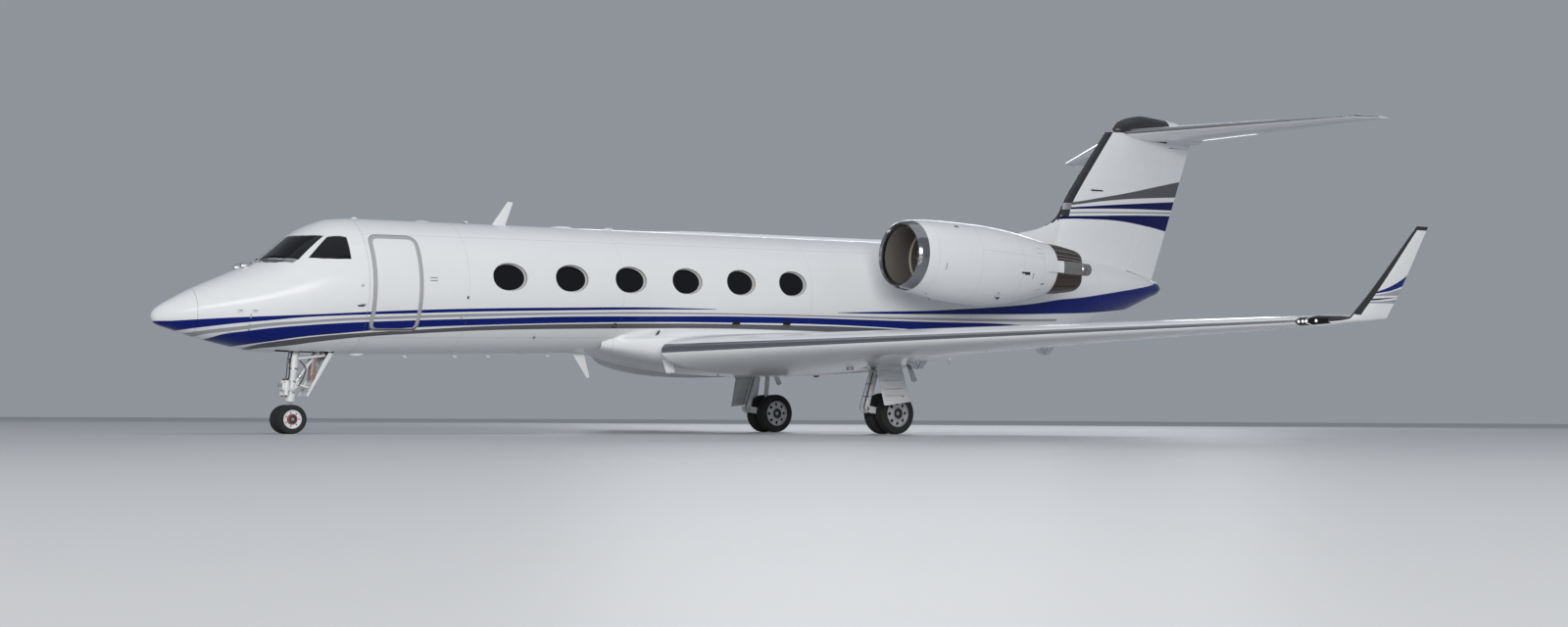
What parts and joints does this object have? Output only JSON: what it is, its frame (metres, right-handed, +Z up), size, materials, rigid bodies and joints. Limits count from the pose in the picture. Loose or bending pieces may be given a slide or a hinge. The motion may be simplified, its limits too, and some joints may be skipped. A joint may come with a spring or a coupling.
{
  "type": "business jet",
  "caption": "Twin-engine business jet on its wheels, with a low swept wing, tail-mounted engines, a T-tail, an opening stair door, flaps, control surfaces and steering.",
  "frame": {"origin": "the middle of the box's footprint, on the ground under the wheels", "axes": "+X aft along the fuselage, the nose at -X; +Y to starboard; +Z up"},
  "size_m": [26.9066, 23.7256, 7.8509],
  "materials": {
    "white_paint": "gloss white paint",
    "tinted_glass": "dark tinted glass",
    "lining": "cabin lining",
    "dark_metal": "dark heat-stained metal",
    "bare_steel": "bare machined steel",
    "tyre": "black rubber"
  },
  "bodies": {
    "airframe": {"nose_radome": "white_paint", "nose_shell": "white_paint", "cabin_crown": "white_paint", "cabin_belly": "white_paint", "cabin_side_left": "white_paint", "cabin_windows_left": "tinted_glass", "windscreen_left": "tinted_glass", "cockpit_side_window_left": "tinted_glass", "cabin_side_right": "white_paint", "cabin_windows_right": "tinted_glass", "windscreen_right": "tinted_glass", "cockpit_side_window_right": "tinted_glass", "cabin_floor": "lining", "flight_deck": "dark_metal", "aft_fuselage": "white_paint", "tail_cone": "white_paint", "wing_root_fairing": "white_paint", "wing_left": "white_paint", "winglet_left": "white_paint", "nacelle_left": "white_paint", "exhaust_nozzle_left": "dark_metal", "engine_left": "bare_steel", "pylon_left": "white_paint", "main_leg_left": "white_paint", "main_leg_door_left": "white_paint", "wing_right": "white_paint", "winglet_right": "white_paint", "nacelle_right": "white_paint", "exhaust_nozzle_right": "dark_metal", "engine_right": "bare_steel", "pylon_right": "white_paint", "main_leg_right": "white_paint", "main_leg_door_right": "white_paint", "tailplane": "white_paint", "fin": "white_paint", "fin_bullet": "white_paint", "dorsal_fairing": "white_paint", "nose_leg": "white_paint", "nose_drag_brace": "white_paint", "crown_aerial": "white_paint", "belly_aerial": "white_paint"},
    "entry_door": {"entry_door": "white_paint"},
    "fan_left": {"fan_left": "dark_metal"},
    "flap_left_body": {"flap_left": "white_paint"},
    "aileron_left_body": {"aileron_left": "white_paint"},
    "elevator_left_body": {"elevator_left": "white_paint"},
    "main_wheels_left": {"main_wheel_left_inner": "tyre", "main_wheel_left_outer": "tyre"},
    "fan_right": {"fan_right": "dark_metal"},
    "flap_right_body": {"flap_right": "white_paint"},
    "aileron_right_body": {"aileron_right": "white_paint"},
    "elevator_right_body": {"elevator_right": "white_paint"},
    "main_wheels_right": {"main_wheel_right_inner": "tyre", "main_wheel_right_outer": "tyre"},
    "rudder_body": {"rudder": "white_paint"},
    "nose_fork_body": {"nose_fork": "bare_steel"},
    "nose_wheels": {"nose_wheel_left": "tyre", "nose_wheel_right": "tyre"}
  },
  "joints": [
    {"name": "entry_door_swing", "type": "hinge", "parent": "airframe", "child": "entry_door", "pos_m": [-10.02666, -0.88265, 1.8264], "axis": [0.9995, 0, 0.0307], "range_deg": [0, 130]},
    {"name": "fan_spin_left", "type": "hinge", "parent": "airframe", "child": "fan_left", "pos_m": [1.55282, -2.3, 3.61643], "axis": [0.9999, 0, -0.0147], "continuous": true},
    {"name": "flap_left", "type": "hinge", "parent": "airframe", "child": "flap_left_body", "pos_m": [0.8065, -1.57148, 1.29125], "axis": [-0.1364, 0.9885, -0.0652], "range_deg": [0, 39]},
    {"name": "aileron_left", "type": "hinge", "parent": "airframe", "child": "aileron_left_body", "pos_m": [1.62883, -6.86, 1.82677], "axis": [-0.3048, 0.9516, -0.0391], "range_deg": [-20, 20]},
    {"name": "elevator_left", "type": "hinge", "parent": "airframe", "child": "elevator_left_body", "pos_m": [11.55235, -0.4, 7.39979], "axis": [-0.2949, 0.9555, -0.0091], "range_deg": [-20, 20]},
    {"name": "main_wheel_roll_left", "type": "hinge", "parent": "airframe", "child": "main_wheels_left", "pos_m": [0.49437, -2.085, 0.415], "axis": [0, 1, 0], "continuous": true},
    {"name": "fan_spin_right", "type": "hinge", "parent": "airframe", "child": "fan_right", "pos_m": [1.55282, 2.3, 3.61643], "axis": [0.9999, 0, -0.0147], "continuous": true},
    {"name": "flap_right", "type": "hinge", "parent": "airframe", "child": "flap_right_body", "pos_m": [0.8065, 1.57148, 1.29125], "axis": [0.1364, 0.9885, 0.0652], "range_deg": [0, 39]},
    {"name": "aileron_right", "type": "hinge", "parent": "airframe", "child": "aileron_right_body", "pos_m": [1.62883, 6.86, 1.82677], "axis": [0.3048, 0.9516, 0.0391], "range_deg": [-20, 20]},
    {"name": "elevator_right", "type": "hinge", "parent": "airframe", "child": "elevator_right_body", "pos_m": [11.55235, 0.4, 7.39979], "axis": [0.2949, 0.9555, 0.0091], "range_deg": [-20, 20]},
    {"name": "main_wheel_roll_right", "type": "hinge", "parent": "airframe", "child": "main_wheels_right", "pos_m": [0.49437, 2.085, 0.415], "axis": [0, 1, 0], "continuous": true},
    {"name": "rudder_swing", "type": "hinge", "parent": "airframe", "child": "rudder_body", "pos_m": [9.65587, 0, 3.99993], "axis": [0.4506, 0, 0.8927], "range_deg": [-22, 22]},
    {"name": "nose_steering", "type": "hinge", "parent": "airframe", "child": "nose_fork_body", "pos_m": [-11.11563, 0, 0.25], "axis": [0.0792, 0, 0.9969], "range_deg": [-80, 80]},
    {"name": "nose_wheel_roll", "type": "hinge", "parent": "nose_fork_body", "child": "nose_wheels", "pos_m": [-11.11563, 0, 0.25], "axis": [0, 1, 0], "continuous": true}
  ],
  "couplings": [
    {"joint": "elevator_right", "follows": "elevator_left", "ratio": 1},
    {"joint": "aileron_right", "follows": "aileron_left", "ratio": -1},
    {"joint": "flap_right", "follows": "flap_left", "ratio": 1}
  ]
}
